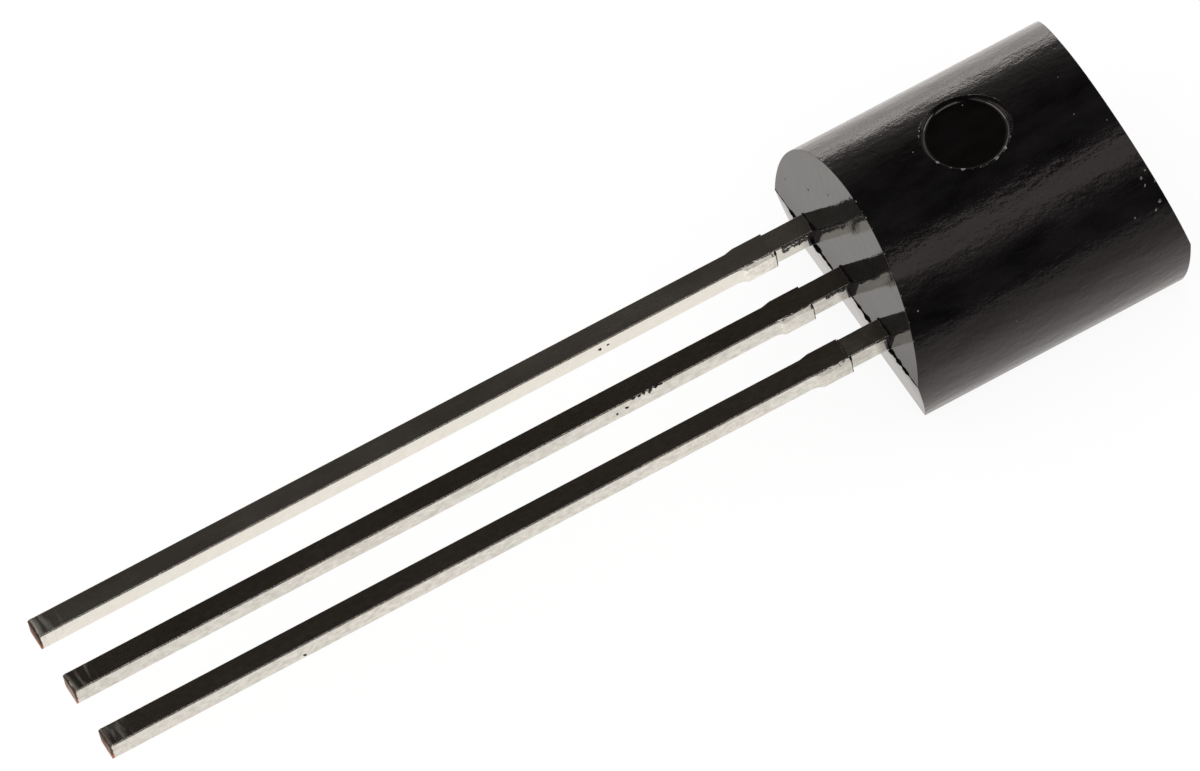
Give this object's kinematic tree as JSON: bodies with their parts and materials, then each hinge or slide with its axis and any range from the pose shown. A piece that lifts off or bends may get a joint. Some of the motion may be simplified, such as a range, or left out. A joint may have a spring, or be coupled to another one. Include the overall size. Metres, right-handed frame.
{
  "type": "voltage regulator",
  "caption": "Small voltage regulator: a black moulded package with a flat and a round side, on straight parallel rectangular leads that solder into a circuit board.",
  "frame": {"origin": "middle of the flat face that the package lies on", "axes": "+Z from the flat to the crown of the round side, -X along the leads away from the package, +Y towards the input lead"},
  "size_m": [0.0195, 0.0048, 0.0036],
  "materials": {
    "moulding_compound": "satin black epoxy moulding compound",
    "tinned_copper": "bright tin plate over copper alloy",
    "die_attach_layer": "dull silver-filled adhesive",
    "silicon": "sawn silicon with metallised pads",
    "gold_wire": "drawn gold wire"
  },
  "bodies": {
    "root": {"moulded_body": "moulding_compound", "lead_output": "tinned_copper", "lead_ground": "tinned_copper", "lead_input": "tinned_copper", "die_attach": "die_attach_layer", "silicon_die": "silicon", "bond_wire_output": "gold_wire", "bond_wire_input": "gold_wire", "bond_wire_ground": "gold_wire"}
  },
  "joints": []
}
